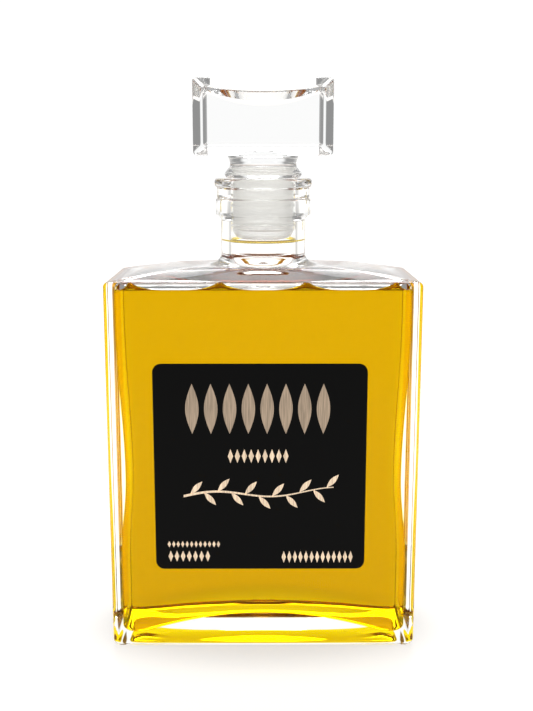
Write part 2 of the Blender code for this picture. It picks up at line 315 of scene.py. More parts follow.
@dataclass(frozen=True)
class StudioFloor:
    """The plain pale floor, which glows: white round the bottle and behind it, a little greyer to the sides,
    with a painted contact shadow where the bottle stands.

    The painted contact shadow's edge goes by the distance with the floor squeezed along X, the pool's by
    the distance, and the wedge's by the cosine to straight behind.
    """

    name: str = "studio_floor"
    white: float = 0.96
    # Painted contact shadow: how strongly the floor glows right next to the bottle.
    painted_shadow: float = 0.68
    side: float = 0.45
    squeeze: float = 0.55
    # Where the painted contact shadow fades out.
    painted_shadow_edge: Edge = (0.028, 0.064)
    pool_edge: Edge = (0.35, 0.70)
    wedge_edge: Edge = (0.50, 0.72)

    @staticmethod
    def _combine(coat: Coat, operation: str, first: Socket, second: Socket) -> Socket:
        """Two values combined.

        Args:
            coat: The material.
            operation: The mathematical operation's Blender name.
            first: The first value.
            second: The second value.

        Returns:
            The combined value.
        """
        made = coat.add("Math", operation=operation, Value=first)
        coat.link(second, made.inputs[1])
        return made.outputs[0]

    @staticmethod
    def _distance(coat: Coat, squeeze: float) -> Socket:
        """The distance to the bottle's middle, with the floor squeezed along X."""
        place = coat.add("Mapping", Vector=coat.coordinates(), Scale=(squeeze, 1.0, 1.0))
        return coat.add("VectorMath", operation="LENGTH", Vector=place.outputs["Vector"]).outputs["Value"]

    def material(self) -> Material:
        """Makes the floor, whose glow is dimmer where the bottle stands, as a painted contact shadow, and
        away to the sides.

        Returns:
            The material.
        """
        coat = Coat(
            self.name,
            Base_Color=(0.36, 0.36, 0.36, 1.0),
            Roughness=0.9,
            Specular_IOR_Level=0.1,
            # Warm glow colour, which shows most in the painted contact shadow as painted golden light from
            # the oil.
            Emission_Color=(1.0, 0.975, 0.94, 1.0),
        )
        away = self._distance(coat, 1.0)
        behind = self._combine(coat, "DIVIDE", coat.coordinate("Y"), away)
        wedge = coat.step(behind, self.wedge_edge, self.side, 1.0)
        pool = coat.step(away, self.pool_edge, 1.0, self.side)
        near = self._distance(coat, self.squeeze)
        # Painted contact shadow: the glow dims to its lowest next to the bottle.
        painted_shadow = coat.step(near, self.painted_shadow_edge, self.painted_shadow, self.white)
        glow = self._combine(coat, "MULTIPLY", painted_shadow, self._combine(coat, "MAXIMUM", wedge, pool))
        coat.link(glow, coat.shader.inputs["Emission Strength"])
        return coat.made


@dataclass(frozen=True)
class Outline:
    """A rounded rectangle seen from above, or a circle where all three sizes are equal."""

    half_x: float
    half_y: float
    corner: float
    support: float = 0.0004

    def inset(self, depth: float, corner: float | None = None) -> "Outline":
        """The outline moved inwards by a depth, with a corner of its own if one is given."""
        kept = self.corner - depth if corner is None else corner
        return Outline(self.half_x - depth, self.half_y - depth, kept)

    def points(self) -> Ring:
        """Points anticlockwise round the outline from its right side, the corners closely spaced.

        Returns:
            The same number of points for every outline.
        """
        ring: Ring = []
        for quadrant in range(4):
            bend = [self._on_corner(quadrant, share) for share in even(Side.CORNER.value)]
            after = self._on_corner((quadrant + 1) % 4, 0.0)
            side = Side.LONG if quadrant % 2 == 0 else Side.SHORT
            ring += bend + self._along(bend[-1], after, side.value)
        return ring

    def _on_corner(self, quadrant: int, share: float) -> Vector:
        """A point part of the way round one corner.

        Args:
            quadrant: The corner's number, anticlockwise from the one to the right and behind.
            share: How far round it, from 0 to 1.

        Returns:
            The point.
        """
        sign_x = 1.0 if quadrant in (0, 3) else -1.0
        sign_y = 1.0 if quadrant in (0, 1) else -1.0
        angle = (quadrant + share) * math.pi / 2
        x = sign_x * (self.half_x - self.corner) + self.corner * math.cos(angle)
        y = sign_y * (self.half_y - self.corner) + self.corner * math.sin(angle)
        return Vector((x, y, 0.0))

    def _along(self, first: Vector, last: Vector, steps: int) -> Ring:
        """Points strictly between two corners, the outermost two close to the ends as support.

        Args:
            first: The first corner's last point.
            last: The next corner's first point.
            steps: One more than the number of points.

        Returns:
            The points.
        """
        run = (last - first).length
        edge = min(self.support / run, 0.5 / steps) if run > 0 else 0.0
        shares = [edge] + [step / (steps - 2) for step in range(1, steps - 2)] + [1.0 - edge]
        return [first.lerp(last, share) for share in shares]


def even(steps: int) -> list[float]:
    """The shares from 0 to 1 at even steps."""
    return [step / steps for step in range(steps + 1)]


def parts(span: Span, count: int) -> list[float]:
    """The middles of a number of equal parts of a span."""
    first, last = span
    return [first + (last - first) * (index + 0.5) / count for index in range(count)]


def bulge(share: float) -> float:
    """The height of a parabola that is 1 in the middle, and 0 from a share of 1 outwards."""
    return max(0.0, 1.0 - share**2)


def between(first: Ring, second: Ring, share: float) -> Ring:
    """The points at a share of the way from one ring to another."""
    return [a.lerp(b, share) for a, b in zip(first, second)]


def circle(radius: float, like: Outline) -> Ring:
    """A circle whose points lie in the same directions as those of an outline."""
    return [point.normalized() * radius for point in like.points()]


def disc(radius: float, height: float) -> Ring:
    """A level circle about the bottle's axis."""
    return [Vector((radius * c, radius * s, height)) for c, s in arc(DISC_STEPS, 0.0, 360.0)[:-1]]


def raised(points: Iterable[Vector], height: Height) -> Ring:
    """Points lifted to a height.

    Args:
        points: The points.
        height: The height, or a function that gives it from x and y.

    Returns:
        New points.
    """
    if callable(height):
        return [Vector((point.x, point.y, height(point.x, point.y))) for point in points]
    return [Vector((point.x, point.y, height)) for point in points]


def arc(steps: int, first: float = 0.0, last: float = 90.0) -> Profile:
    """Cosine and sine at even steps of an arc.

    Args:
        steps: How many steps the arc is divided into.
        first: The first angle in degrees.
        last: The last angle in degrees.

    Returns:
        One pair for each end of a step.
    """
    angles = [math.radians(first + (last - first) * step / steps) for step in range(steps + 1)]
    return [(math.cos(angle), math.sin(angle)) for angle in angles]


def band(shell: bmesh.types.BMesh, lower: Row, upper: Row) -> None:
    """Adds a closed band of faces between two rows with as many corners."""
    for start, end in zip(range(len(lower)), [*range(1, len(lower)), 0]):
        shell.faces.new((lower[start], lower[end], upper[end], upper[start]))


def loft(name: str, rings: Sequence[Ring], finish: Material, endless: bool = False) -> Piece:
    """A closed mesh over a run of rings, shaded smooth.

    Args:
        name: The object's name.
        rings: Rings with the same number of points each.
        finish: The material.
        endless: Whether the last ring joins the first, instead of a cap at both ends.

    Returns:
        The new object, linked to the scene.
    """
    shell = bmesh.new()
    rows = [[shell.verts.new(point) for point in ring] for ring in rings]
    for lower, upper in zip(rows, rows[1:]):
        band(shell, lower, upper)
    if endless:
        band(shell, rows[-1], rows[0])
        return shown(name, shell, finish)
    for row in (rows[0], rows[-1]):
        middle = shell.verts.new(sum((vert.co for vert in row), Vector()) / len(row))
        for corner, following in zip(row, row[1:] + row[:1]):
            shell.faces.new((corner, following, middle))
    return shown(name, shell, finish)


def linked(name: str, data: bpy.types.ID) -> Piece:
    """Makes an object and links it to the scene.

    Args:
        name: The object's name.
        data: Its mesh, light or camera.

    Returns:
        The new object.
    """
    made = bpy.data.objects.new(name, data)
    bpy.context.scene.collection.objects.link(made)
    return made


def shown(name: str, shell: bmesh.types.BMesh, finish: Material, sharp: float = 40.0) -> Piece:
    """Makes an object of closed surfaces, with their faces turned outwards.

    Args:
        name: The object's name.
        shell: The surfaces, which are freed.
        finish: The material.
        sharp: The angle in degrees from which an edge stays sharp.

    Returns:
        The new object, linked to the scene.
    """
    bmesh.ops.recalc_face_normals(shell, faces=shell.faces)
    if shell.calc_volume(signed=True) < 0:
        bmesh.ops.reverse_faces(shell, faces=shell.faces)
    mesh = bpy.data.meshes.new(name)
    shell.to_mesh(mesh)
    shell.free()
    mesh.shade_smooth()
    mesh.set_sharp_from_angle(angle=math.radians(sharp))
    mesh.materials.append(finish)
    return linked(name, mesh)


def united(first: Piece, second: Piece, sharp: float) -> Piece:
    """Joins a second closed piece to the first, so that one closed surface is left.

    Args:
        first: The piece that keeps its name.
        second: The piece joined to it, which is removed.
        sharp: The angle in degrees from which an edge stays sharp.

    Returns:
        The first piece, with normals that keep its flat faces flat.
    """
    join = first.modifiers.new("join", "BOOLEAN")
    join.operation = "UNION"
    join.object = second
    keep_flat = first.modifiers.new("keep_flat", "WEIGHTED_NORMAL")
    keep_flat.weight = 100
    keep_flat.keep_sharp = True
    first.data.set_sharp_from_angle(angle=math.radians(sharp))
    mesh = bpy.data.meshes.new_from_object(first.evaluated_get(bpy.context.evaluated_depsgraph_get()))
    mesh.name = first.name
    first.modifiers.clear()
    first.data = mesh
    bpy.data.objects.remove(second, do_unlink=True)
    return first


def flat_shapes(name: str, shapes: Iterable[Ring], thickness: float, finish: Material) -> Piece:
    """Flat pieces that stand a little in front of the upright face that their edges lie on.

    Args:
        name: The object's name.
        shapes: The pieces' edges.
        thickness: How far the pieces stand out.
        finish: The material.

    Returns:
        The new object, linked to the scene.
    """
    shell = bmesh.new()
    out = Vector((0.0, -thickness, 0.0))
    for edge in shapes:
        back = [shell.verts.new(point) for point in edge]
        front = [shell.verts.new(point + out) for point in edge]
        shell.faces.new(front)
        shell.faces.new(back[::-1])
        band(shell, back, front)
    return shown(name, shell, finish, sharp=30.0)


def ride_along(made: Piece) -> None:
    """Lets an extra piece ride on the body.

    Args:
        made: The piece.
    """
    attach(made, BODY)
    LOG.info("%s: %d vertices, an extra piece", made.name, len(made.data.vertices))


def stand_for(made: Piece, node: str) -> None:
    """Lets a piece ride on the body and stand for a solid, which is hidden.

    Args:
        made: The piece.
        node: The solid's name.
    """
    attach(made, BODY)
    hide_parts(node)
    LOG.info("%s: %d vertices, stands for %s", made.name, len(made.data.vertices), node)


@dataclass
class Cavity:
    """The inside of the bottle's body, from its vaulted floor to the foot of the bore.

    The side walls swell inwards round a height and fade out below and above it.
    """

    outline: Outline
    roof_edge: float
    throat: float
    roof_rise: float = 0.0050
    roof_rounding: float = 0.0035
    floor_low: float = 0.0060
    floor_rise: float = 0.0090
    floor_span: float = 0.0540
    floor_rounding: float = 0.0030
    swell: float = 0.0028
    swell_height: float = 0.0790
    swell_below: float = 0.0400
    swell_above: float = 0.0700
    wall_foot: float = 0.0300
    wall_head: float = 0.0020
    steps: int = 40

    def side_swell(self, height: float) -> float:
        """How far the side walls swell inwards at a height."""
        reach = self.swell_below if height < self.swell_height else self.swell_above
        return self.swell * math.cos(min(1.0, abs(height - self.swell_height) / reach) * math.pi / 2) ** 2

    def wall_rings(self, inset: float) -> list[Ring]:
        """Rings up the wall between its foot and its rounded top.

        Args:
            inset: How far inside the cavity's own surface the rings lie.

        Returns:
            The rings in order.
        """
        wall = self.outline.inset(inset)
        top = self.roof_edge - self.roof_rounding - self.wall_head
        rings = []
        for share in even(self.steps):
            height = self.wall_foot + (top - self.wall_foot) * share
            outline = Outline(wall.half_x - self.side_swell(height), wall.half_y, wall.corner)
            rings.append(raised(outline.points(), height))
        return rings

    def floor(self, inset: float) -> Callable[[float, float], float]:
        """The floor's height: highest along the middle, low towards both short sides."""
        low = self.floor_low + inset
        return lambda x, y: low + self.floor_rise * bulge(x / self.floor_span)

    def floor_rings(self, inset: float) -> list[Ring]:
        """Rings from the middle of the floor up its rounded edge to the wall.

        Args:
            inset: How far inside the cavity's own surface the rings lie.

        Returns:
            The rings in order.
        """
        wall = self.outline.inset(inset)
        flat = wall.inset(self.floor_rounding, wall.corner - self.floor_rounding / 2)
        floor = self.floor(inset)
        rings = [raised([point * share for point in flat.points()], floor) for share in SPREAD]
        for cosine, sine in arc(8, -90.0, 0.0):
            reach = self.floor_rounding * (1.0 - cosine)
            ring = wall.inset(reach, wall.corner - reach / 2).points()
            lift = self.floor_rounding * (1.0 + sine)
            rings.append(raised(ring, lambda x, y: floor(x, y) + lift))
        rings.append([point + Vector((0.0, 0.0, wall.support)) for point in rings[-1]])
        return rings

    def roof_rings(self, inset: float) -> list[Ring]:
        """Rings over the rounded top of the wall and up the pillowed roof to the throat."""
        wall = self.outline.inset(inset)
        return shoulder_rings(wall, self.roof_edge - inset, self.roof_rounding, self.roof_rise, self.throat)

    def rings(self, inset: float = 0.0) -> list[Ring]:
        """All the rings from the middle of the floor to the throat."""
        return self.floor_rings(inset) + self.wall_rings(inset) + self.roof_rings(inset)


def shoulder_rings(wall: Outline, edge: float, rounding: float, rise: float, throat: float) -> list[Ring]:
    """Rings over the rounded top edge of a wall and up a pillowed shoulder to a circle.

    Args:
        wall: The wall's outline.
        edge: The height of the shoulder at its outer edge.
        rounding: The radius of the rounded edge.
        rise: How far the shoulder rises from its edge to the circle.
        throat: The circle's radius.

    Returns:
        The rings from the wall upwards.
    """
    rings = [raised(wall.points(), edge - rounding - wall.support)]
    top = wall
    for cosine, sine in arc(10):
        reach = rounding * (1.0 - cosine)
        top = wall.inset(reach, max(wall.corner - reach, rounding / 2))
        rings.append(raised(top.points(), edge - rounding * (1.0 - sine)))
    rim, mouth = top.points(), circle(throat, wall)
    for share in [0.01] + even(22)[1:]:
        height = edge + rise * math.sin(share * math.pi / 2)
        rings.append(raised(between(rim, mouth, share), height))
    return rings


def split_at(rings: Sequence[Ring], level: float) -> list[Ring]:
    """Rings from the top down with one more at a level, where the run of rings crosses it.

    Args:
        rings: Rings in order, the first ones level.
        level: The height of the added ring.

    Returns:
        The rings with the added one.
    """
    split = [rings[0]]
    for above, below in zip(rings, rings[1:]):
        first, second = above[0].z, below[0].z
        if first > level > second:
            share = (first - level) / (first - second)
            split.append(raised(between(above, below, share), level))
        split.append(below)
    return split


@dataclass
class BottleShell:
    """The clear glass bottle: body, pillowed shoulder, neck with its collar and lip, and bore."""

    width: float
    depth: float
    mouth: float
    wall: float = 0.0042
    side_wall: float = 0.0042
    corner: float = 0.0028
    inner_corner: float = 0.0060
    shoulder: float = 0.1660
    roof: float = 0.0020
    shoulder_rise: float = 0.0050
    shoulder_rounding: float = 0.0024
    heel: float = 0.0035
    rim: float = 0.0040
    push_up: float = 0.0020
    neck: float = 0.01875
    neck_fillet: float = 0.0052
    collar: float = 0.0210
    collar_bottom: float = 0.1924
    collar_top: float = 0.1999
    collar_rounding: float = 0.0009
    recess: float = 0.0205
    lip: float = 0.0215
    lip_bottom: float = 0.2045
    lip_rounding: float = 0.0014
    bore: float = 0.0146
    bore_fillet: float = 0.0050
    near: float = 0.0010
    finish: ClearGlass = ClearGlass("bottle_glass")
    wetted: ClearGlass = ClearGlass("wetted_glass", ior=1.55 / 1.46)

    def outline(self) -> Outline:
        """The body's outer outline."""
        return Outline(self.width / 2, self.depth / 2, self.corner)

    def cavity(self) -> Cavity:
        """The inside of the body."""
        inner = Outline(self.width / 2 - self.side_wall, self.depth / 2 - self.wall, self.inner_corner)
        return Cavity(inner, self.shoulder - self.roof, self.bore + self.bore_fillet, self.shoulder_rise)

    def base_rings(self) -> list[Ring]:
        """Rings from the middle of the underside over the rim and the heel to the wall.

        Returns:
            The rings in order.
        """
        body = self.outline()
        foot = self.corner - self.heel * 0.5
        rim = body.inset(self.heel + self.rim, foot)
        dome = self._push_up_height(rim)
        rings = [raised([point * share for point in rim.points()], dome) for share in SPREAD]
        rings.append(raised(rim.points(), 0.0))
        rings.append(raised(body.inset(self.heel + body.support, foot).points(), 0.0))
        for cosine, sine in arc(10, -90.0, 0.0):
            reach = self.heel * (1.0 - cosine)
            ring = body.inset(reach, self.corner - reach * 0.5).points()
            rings.append(raised(ring, self.heel * (1.0 + sine)))
        rings.append(raised(body.points(), self.heel + body.support))
        return rings

    def _push_up_height(self, rim: Outline) -> Callable[[float, float], float]:
        """The shallow dome under the base, flat at the rim."""
        return lambda x, y: self.push_up * bulge(x / rim.half_x) * bulge(y / rim.half_y)

    def neck_profile(self) -> Profile:
        """The neck's outside from its foot over the collar and the lip to the mouth.

        Returns:
            Pairs of radius and height.
        """
        fillet = self.neck_fillet
        foot = self.shoulder + self.shoulder_rise + fillet
        reach = self.neck + fillet
        profile = [(reach - fillet * c, foot - fillet * s) for c, s in reversed(arc(12)[:-1])]
        rounding = self.collar_rounding
        profile.append((self.neck, self.collar_bottom - 2.5 * rounding))
        profile.append((self.neck, self.collar_bottom - 2.0 * rounding))
        profile += self._bead(self.collar, self.collar_bottom, self.collar_top, rounding)
        profile.append((self.recess, self.collar_top + rounding / 2))
        profile.append((self.recess, self.lip_bottom - rounding / 2))
        profile += self._bead(self.lip, self.lip_bottom, self.mouth, self.lip_rounding)
        return profile

    @staticmethod
    def _bead(radius: float, low: float, high: float, rounding: float) -> Profile:
        """A ring round the neck, rounded below and above.

        Args:
            radius: The ring's radius.
            low: The height of its underside.
            high: The height of its top.
            rounding: The radius of both edges.

        Returns:
            Pairs of radius and height.
        """
        inner = radius - rounding
        lower = [(inner + rounding * c, low + rounding * (1.0 + s)) for c, s in arc(5, -90.0, 0.0)]
        upper = [(inner + rounding * c, high - rounding * (1.0 - s)) for c, s in arc(5)]
        return lower + upper

    def bore_profile(self) -> Profile:
        """The inside from the mouth's inner edge down the bore to the inner roof.

        Returns:
            Pairs of radius and height.
        """
        edge, fillet = self.lip_rounding / 2, self.bore_fillet
        foot = self.shoulder - self.roof + self.shoulder_rise + fillet
        profile = [(self.bore + edge * (1.0 - c), self.mouth - edge * (1.0 - s)) for c, s in reversed(arc(4))]
        profile += [(self.bore + fillet * (1.0 - c), foot - fillet * s) for c, s in arc(12)[:-1]]
        return profile

    def _is_wetted(self, place: Vector, level: float) -> bool:
        """Whether a place on the glass lies on the inside under the oil's level.

        Args:
            place: The place.
            level: The oil's level.

        Returns:
            Whether it does.
        """
        inside = self.cavity().outline
        across = abs(place.x) < inside.half_x + self.near and abs(place.y) < inside.half_y + self.near
        return across and self.wall - self.near / 2 < place.z < level

    def build(self, level: float) -> None:
        """Makes the glass, its wetted wall with a finish of its own, and lets it stand for its solid.

        Args:
            level: How high the oil wets the inside.
        """
        body = self.outline()
        reach = self.neck + self.neck_fillet
        rings = self.base_rings()
        rings += shoulder_rings(body, self.shoulder, self.shoulder_rounding, self.shoulder_rise, reach)
        profile = self.neck_profile() + self.bore_profile()
        rings += [raised(circle(radius, body), height) for radius, height in profile]
        rings += split_at(self.cavity().rings()[::-1], level)
        made = loft("glass_bottle", rings, self.finish.material())
        made.data.materials.append(self.wetted.material())
        for face in made.data.polygons:
            face.material_index = int(self._is_wetted(face.center, level))
        stand_for(made, "bottle_glass")


@dataclass
class OilFill:
    """The oil, filled to its level and reaching just into the glass so that no gap shows."""

    cavity: Cavity
    level: float
    into_wall: float = 0.00012

    def build(self) -> None:
        """Makes the oil and lets it stand for its solid."""
        rings: list[Ring] = []
        for ring in self.cavity.rings(-self.into_wall):
            highest = max(point.z for point in ring)
            if highest >= self.level:
                below = rings[-1]
                share = (self.level - below[0].z) / (highest - below[0].z)
                rings.append(between(below, ring, share))
                break
            rings.append(ring)
        stand_for(loft("oil_fill", rings, GoldenOil(level=self.level).material()), "olive_oil")


@dataclass(frozen=True)
class Face:
    """One large face of the stopper's block: how far it lies inside the outline on each side.

    The inset at the top differs between the corners and the middle, because the bevel there follows
    the dish. The bevel's depth is how far behind the face the outline's full size is reached.
    """

    side: float
    bottom: float
    top: float
    middle: float
    bevel: float

    def profile(self, fillet: float) -> Profile:
        """How much of the insets applies, and how far behind the face, over the rounded bevel.

        Args:
            fillet: The radius at both ends of the bevel.

        Returns:
            Pairs from the face to the outline.
        """
        reach = self.bevel + fillet * math.tan(math.pi / 8)
        profile = []
        for cosine, sine in arc(8, 90.0, 45.0):
            profile.append((reach - fillet * cosine, fillet * (1.0 - sine)))
        for cosine, sine in arc(8, 45.0, 0.0):
            profile.append((fillet * (1.0 - cosine), reach - fillet * sine))
        return [(inset / reach, behind) for inset, behind in profile]


@dataclass
class BlockStopper:
    """The solid glass stopper: a bevelled block with a dished top, a waisted stem and a core."""

    width: float
    top: float
    depth: float = 0.0340
    bottom: float = 0.2184
    corner: float = 0.0018
    front: Face = Face(0.0050, 0.0042, 0.0044, 0.0070, 0.0053)
    back: Face = Face(0.0064, 0.0054, 0.0062, 0.0120, 0.0072)
    fillet: float = 0.0030
    dish_reach: float = 0.0235
    dish_edge_dip: float = 0.0017
    dish_dip: float = 0.0060
    root: float = 0.0158
    sink: float = 0.0070
    waist: float = 0.0146
    waist_height: float = 0.2147
    bulge: float = 0.0171
    bulge_height: float = 0.2100
    foot: float = 0.2089
    core: float = 0.0105
    core_bottom: float = 0.1860
    rounding: float = 0.0010
    steps: int = 30
    seam_angle: float = 13.0
    finish: ClearGlass = ClearGlass("stopper_glass", tint=(0.945, 0.948, 0.945, 1.0), waves=(60.0, 0.00003))

    def block_ring(self, place: float, face: Face, share: float, dish: float = 0.0) -> Ring:
        """One section of the block across its thickness.

        Args:
            place: The section's place along Y.
            face: The face whose insets apply.
            share: How much of the insets applies, from 0 at the outline to 1 at the face.
            dish: How much deeper the dish is here than at its edge.

        Returns:
            The section's points.
        """
        half_x = self.width / 2 - face.side * share
        half_z = (self.top - self.bottom - (face.bottom + face.top) * share) / 2
        dip = self.dish_edge_dip * (1.0 - share) + (face.middle - face.top) * share + dish
        reach = self.dish_reach + (half_x - self.dish_reach) * share
        middle = self.bottom + face.bottom * share + half_z
        ring = []
        for point in Outline(half_x, half_z, self.corner).points():
            hollow = dip * bulge(point.x / reach) * max(0.0, point.y / half_z) ** 3
            ring.append(Vector((point.x, place, middle + point.y - hollow)))
        return ring

    def block_rings(self) -> list[Ring]:
        """Sections of the block from its front face over both bevels to its back face.

        Returns:
            The sections in order.
        """
        half = self.depth / 2
        front, back = self.front.profile(self.fillet), self.back.profile(self.fillet)
        first, last = -half + front[-1][1], half - back[-1][1]
        rings = [self.block_ring(-half + behind, self.front, share) for share, behind in front]
        for share in even(self.steps)[1:-1]:
            dish = (self.dish_dip - self.dish_edge_dip) * math.sin(share * math.pi)
            rings.append(self.block_ring(first + (last - first) * share, self.front, 0.0, dish))
        rings += [self.block_ring(half - behind, self.back, share) for share, behind in reversed(back)]
        return rings

    def stem_profile(self) -> Profile:
        """The stem's outside from the core's end up to its root inside the block.

        Returns:
            Pairs of radius and height.
        """
        profile = [
            (self.core - self.rounding, self.core_bottom),
            (self.core, self.core_bottom + self.rounding),
            (self.core, self.foot),
            (self.bulge - self.rounding, self.foot),
        ]
        for share in even(16)[::-1]:
            radius = self.waist + (self.bulge - self.waist) * (1.0 - math.cos(share * math.pi)) / 2
            profile.append((radius, self.waist_height + (self.bulge_height - self.waist_height) * share))
        for share in even(10)[-2::-1]:
            radius = self.root + (self.waist - self.root) * math.sin(share * math.pi / 2)
            profile.append((radius, self.bottom - (self.bottom - self.waist_height) * share))
        profile.append((self.root, self.bottom + self.sink))
        return profile

    def build(self) -> None:
        """Makes the stopper and lets it stand for its solid."""
        glass = self.finish.material()
        block = loft("block_stopper", self.block_rings(), glass)
        stem = loft("stem", [disc(radius, height) for radius, height in self.stem_profile()], glass)
        stand_for(united(block, stem, self.seam_angle), "stopper_glass")


@dataclass
class RibbedSeal:
    """The translucent plastic cup round the stopper's core, with ribs that press on the bore."""

    top: float
    bottom: float
    radius: float = 0.0136
    rib: float = 0.0143
    rib_heights: tuple[float, ...] = (0.1882, 0.1919, 0.1966, 0.2040)
    rib_half: float = 0.0007
    bore: float = 0.01045
    floor: float = 0.0039
    rounding: float = 0.0045
    lip: float = 0.0006
    finish: SoftPlastic = SoftPlastic()

    def profile(self) -> Profile:
        """The cup's outline from the underside up over the ribs to the top and down the bore.

        Returns:
            Pairs of radius and height.
        """
        rounding, lip = self.rounding, self.lip
        start = self.radius - rounding
        profile = [(start * share, self.bottom) for share in (0.1, 0.5)]
        middle = self.bottom + rounding
        profile += [(start + rounding * c, middle + rounding * s) for c, s in arc(12, -90.0, 0.0)]
        for height in self.rib_heights:
            for step in range(-6, 7):
                share = step / 6
                reach = (self.rib - self.radius) * (1.0 + math.cos(share * math.pi)) / 2
                profile.append((self.radius + reach, height + share * self.rib_half))
        profile += [(self.radius - lip * (1.0 - c), self.top - lip * (1.0 - s)) for c, s in arc(4)]
        inner = self.bottom + self.floor
        profile += [(self.bore, self.top), (self.bore, inner + lip)]
        profile += [(self.bore - lip, inner), (self.bore * 0.5, inner), (self.bore * 0.1, inner)]
        return profile

    def build(self) -> None:
        """Makes the seal and lets it stand for its solid."""
        rings = [disc(radius, height) for radius, height in self.profile()]
        stand_for(loft("ribbed_seal", rings, self.finish.material()), "stopper_seal")


@dataclass
class OilTraces:
    """Oil left in the neck: a beaded ring under the seal and drops down the bore."""

    bore: float
    height: float = 0.1816
    ring_radius: float = 0.00072
    beads: int = 64
    bead_depth: float = 0.12
    drops: tuple[tuple[float, float, float], ...] = (
        (172.0, 0.2035, 0.0045),
        (181.0, 0.1945, 0.0100),
        (188.0, 0.1990, 0.0050),
        (5.0, 0.1960, 0.0110),
        (-4.0, 0.2030, 0.0060),
        (352.0, 0.1925, 0.0070),
        (62.0, 0.1900, 0.0050),
        (118.0, 0.1930, 0.0060),
    )
    drop_width: float = 0.0012
    drop_depth: float = 0.00045
    into_wall: float = 0.0001
    finish: GoldenOil = GoldenOil("oil_traces", density=450.0, tint=(0.93, 0.78, 0.36, 1.0))

    def ring(self) -> list[Ring]:
        """Sections round the beaded ring, which clings to the bore under the seal's edge.

        Returns:
            The sections in order.
        """
        rings = []
        middle = self.bore + self.into_wall - self.ring_radius
        for around, away in arc(self.beads * 8, 0.0, 360.0)[:-1]:
            turn = math.atan2(away, around) * self.beads
            thick = self.ring_radius * (1.0 - self.bead_depth * (1.0 + math.cos(turn)))
            section = []
            for out, up in arc(12, 0.0, 360.0)[:-1]:
                reach = middle + self.ring_radius - thick + thick * out
                section.append(Vector((reach * around, reach * away, self.height + thick * up)))
            rings.append(section)
        return rings

    def drop(self, azimuth: float, top: float, length: float) -> list[Ring]:
        """Rings down one drop, which is half sunk in the wall.

        Args:
            azimuth: Where it hangs round the bore, in degrees.
            top: The height of its top.
            length: How far it has run.

        Returns:
            Rings from the top to the heavier lower end.
        """
        rings = []
        reach = self.bore + self.into_wall
        for part in even(14):
            share = 0.02 + 0.96 * part
            swell = math.sin(share * math.pi) ** 0.5 * (0.6 + 0.4 * share)
            ring = []
            for c, s in arc(12, 0.0, 360.0)[:-1]:
                angle = math.radians(azimuth) + self.drop_width * swell * c / self.bore / 2
                out = reach - self.drop_depth * swell * (0.5 + 0.5 * s)
                ring.append(Vector((out * math.cos(angle), out * math.sin(angle), top - length * share)))
            rings.append(ring)
        return rings

    def build(self) -> None:
        """Makes the ring and the drops."""
        finish = self.finish.material()
        ride_along(loft("oil_ring", self.ring(), finish, endless=True))
        for number, drop in enumerate(self.drops):
            ride_along(loft(f"oil_drop_{number}", self.drop(*drop), finish))


@dataclass
class OilMeniscus:
    """Oil that clings to the front wall between its level and the roof, highest at a few places."""

    wall: float
    level: float
    peaks: tuple[float, ...] = (-0.0570, -0.0185, 0.0185, 0.0570)
    reach: float = 0.0170
    corner_reach: float = 0.0055
    rise: float = 0.0019
    depth: float = 0.0060
    sunk: float = 0.0001
    point: float = 1.6
    thinnest: float = 0.03
    steps: int = 24
    finish: GoldenOil = GoldenOil("oil_meniscus", density=300.0)

    def section(self, place: float, share: float) -> Ring:
        """A hollow-sided wedge against the wall.

        Args:
            place: Where it stands along the wall.
            share: Its part of the full rise and depth.

        Returns:
            The wedge's outline.
        """
        front, foot = self.wall - self.sunk, self.level - self.sunk
        ring = [Vector((place, front, foot))]
        for cosine, sine in arc(8):
            y = front + self.depth * share * (1.0 - sine)
            z = foot + (self.rise + self.sunk) * share * (1.0 - cosine)
            ring.append(Vector((place, y, z)))
        return ring

    def cusp(self, peak: float) -> list[Ring]:
        """Sections along the wall over one peak, which stops short at the body's corners.

        Args:
            peak: Where the peak stands.

        Returns:
            The sections in order.
        """
        rings = []
        for step in range(-self.steps, self.steps + 1):
            away = step / self.steps
            share = max((1.0 - abs(away)) ** self.point, self.thinnest)
            outwards = abs(peak) == max(self.peaks) and away * peak >= 0
            span = self.corner_reach if outwards else self.reach
            rings.append(self.section(peak + away * span, share))
        return rings

    def build(self) -> None:
        """Makes a cusp of oil at each of its peaks."""
        finish = self.finish.material()
        for number, peak in enumerate(self.peaks):
            ride_along(loft(f"oil_meniscus_{number}", self.cusp(peak), finish))


